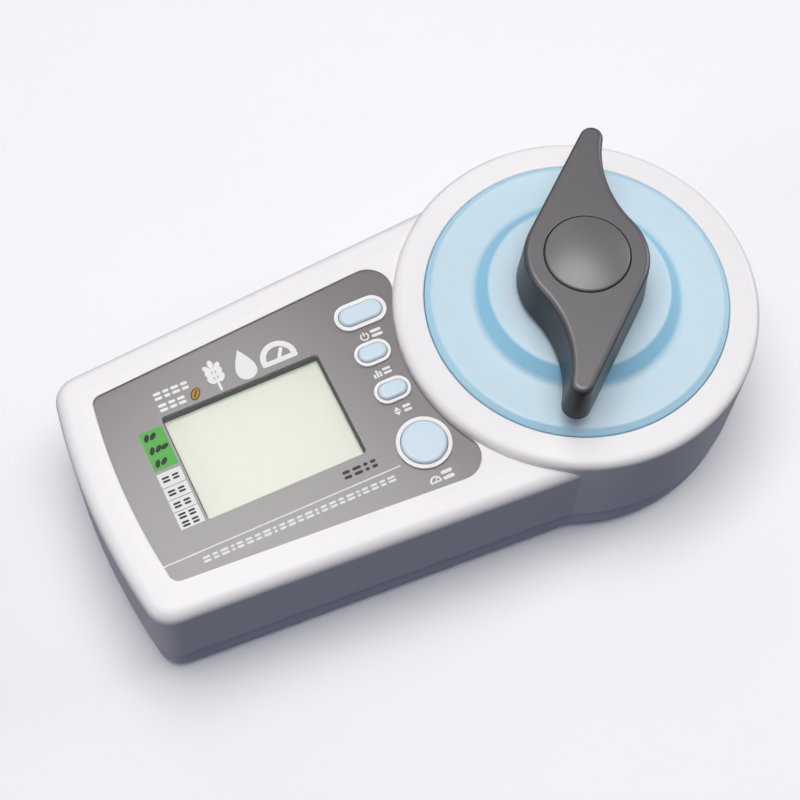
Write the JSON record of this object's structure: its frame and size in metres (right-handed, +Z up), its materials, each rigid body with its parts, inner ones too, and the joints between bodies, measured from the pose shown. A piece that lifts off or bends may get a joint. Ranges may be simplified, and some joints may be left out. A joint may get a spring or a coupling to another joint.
{
  "type": "grain moisture meter",
  "caption": "Hand-held meter: tapered display case with a round head, and a sample cell closed by a stepped press cap with a two-winged screw handle.",
  "frame": {"origin": "on the surface it stands on, under the middle of its bounding box", "axes": "+Z up, +X from the display end towards the round head"},
  "size_m": [0.1852, 0.0966, 0.0681],
  "materials": {
    "case_white": "satin moulded plastic",
    "panel_grey": "satin printed plate",
    "window_clear": "clear",
    "bezel_dark": "matt",
    "lcd_glass": "satin display glass",
    "display_white": "matt",
    "contact_rubber": "matt",
    "board_green": "solder-masked",
    "component_black": "matt",
    "steel": "plain",
    "key_blue": "satin",
    "cap_blue": "satin moulded plastic",
    "handle_grey": "fine textured",
    "seal_rubber": "matt",
    "foot_rubber": "matt",
    "foam": "open-cell foam",
    "brass": "turned",
    "electrode_metal": "turned",
    "battery_jacket": "printed foil jacket, plain",
    "wire_sleeve": "satin"
  },
  "bodies": {
    "case": {"top_case": "case_white", "bottom_case": "case_white", "panel_overlay": "panel_grey", "display_bezel": "bezel_dark", "display_window": "window_clear", "lcd_glass": "lcd_glass", "lcd_reflector": "display_white", "lcd_holder": "bezel_dark", "contact_strips": "contact_rubber", "main_board": "board_green", "key_switches": "component_black", "processor": "component_black", "capacitors": "electrode_metal", "sensor_connector": "display_white", "board_screws": "steel", "battery_box": "bezel_dark", "battery": "battery_jacket", "battery_connector": "component_black", "battery_leads": "wire_sleeve", "door_pin": "steel", "case_screws": "steel", "feet": "foot_rubber", "cap_collar": "case_white", "cell_cup": "bezel_dark", "outer_electrode": "electrode_metal", "cell_insulator": "display_white", "centre_electrode": "electrode_metal", "electrode_nut": "brass", "temperature_sensor": "steel", "cell_screws": "steel", "electrode_leads": "wire_sleeve"},
    "power": {"power_key": "key_blue", "power_plunger": "component_black"},
    "average": {"average_key": "key_blue", "average_plunger": "component_black"},
    "select": {"select_key": "key_blue", "select_plunger": "component_black"},
    "measure": {"measure_key": "key_blue", "measure_plunger": "component_black"},
    "door": {"battery_door": "case_white", "battery_pad": "foam"},
    "cap": {"press_cap": "cap_blue", "cap_insert": "brass", "cap_seal": "seal_rubber"},
    "plate": {"press_plate": "electrode_metal", "keeper_ring": "steel"},
    "handle": {"handle": "handle_grey", "press_screw": "steel", "handle_washer": "seal_rubber", "handle_screw": "steel", "button_spring": "steel"},
    "button": {"pressure_button": "handle_grey"}
  },
  "joints": [
    {"name": "power_press", "type": "slide", "parent": "case", "child": "power", "axis": [0, 0, -1], "range_m": [0, 0.0006], "stiffness_N_per_m": 500, "springref_m": -0.0004},
    {"name": "average_press", "type": "slide", "parent": "case", "child": "average", "axis": [0, 0, -1], "range_m": [0, 0.0006], "stiffness_N_per_m": 500, "springref_m": -0.0004},
    {"name": "select_press", "type": "slide", "parent": "case", "child": "select", "axis": [0, 0, -1], "range_m": [0, 0.0006], "stiffness_N_per_m": 500, "springref_m": -0.0004},
    {"name": "measure_press", "type": "slide", "parent": "case", "child": "measure", "axis": [0, 0, -1], "range_m": [0, 0.0006], "stiffness_N_per_m": 500, "springref_m": -0.0004},
    {"name": "door_hinge", "type": "hinge", "parent": "case", "child": "door", "pos_m": [-0.0306, 0, 0.0035], "axis": [0, -1, 0], "range_deg": [0, 80]},
    {"name": "cap_lift", "type": "slide", "parent": "case", "child": "cap", "axis": [0, 0, 1], "range_m": [0, 0.07]},
    {"name": "plate_feed", "type": "slide", "parent": "cap", "child": "plate", "axis": [0, 0, 1], "range_m": [0, 0.006]},
    {"name": "handle_turn", "type": "hinge", "parent": "plate", "child": "handle", "pos_m": [0.0443, 0, 0], "axis": [0, 0, 1], "range_deg": [0, 540]},
    {"name": "button_press", "type": "slide", "parent": "handle", "child": "button", "axis": [0, 0, -1], "range_m": [0, 0.0025], "stiffness_N_per_m": 300, "springref_m": -0.001, "deforming": ["button_spring"]}
  ],
  "couplings": [
    {"joint": "handle_turn", "follows": "plate_feed", "rad_per_m": 1570.8}
  ]
}
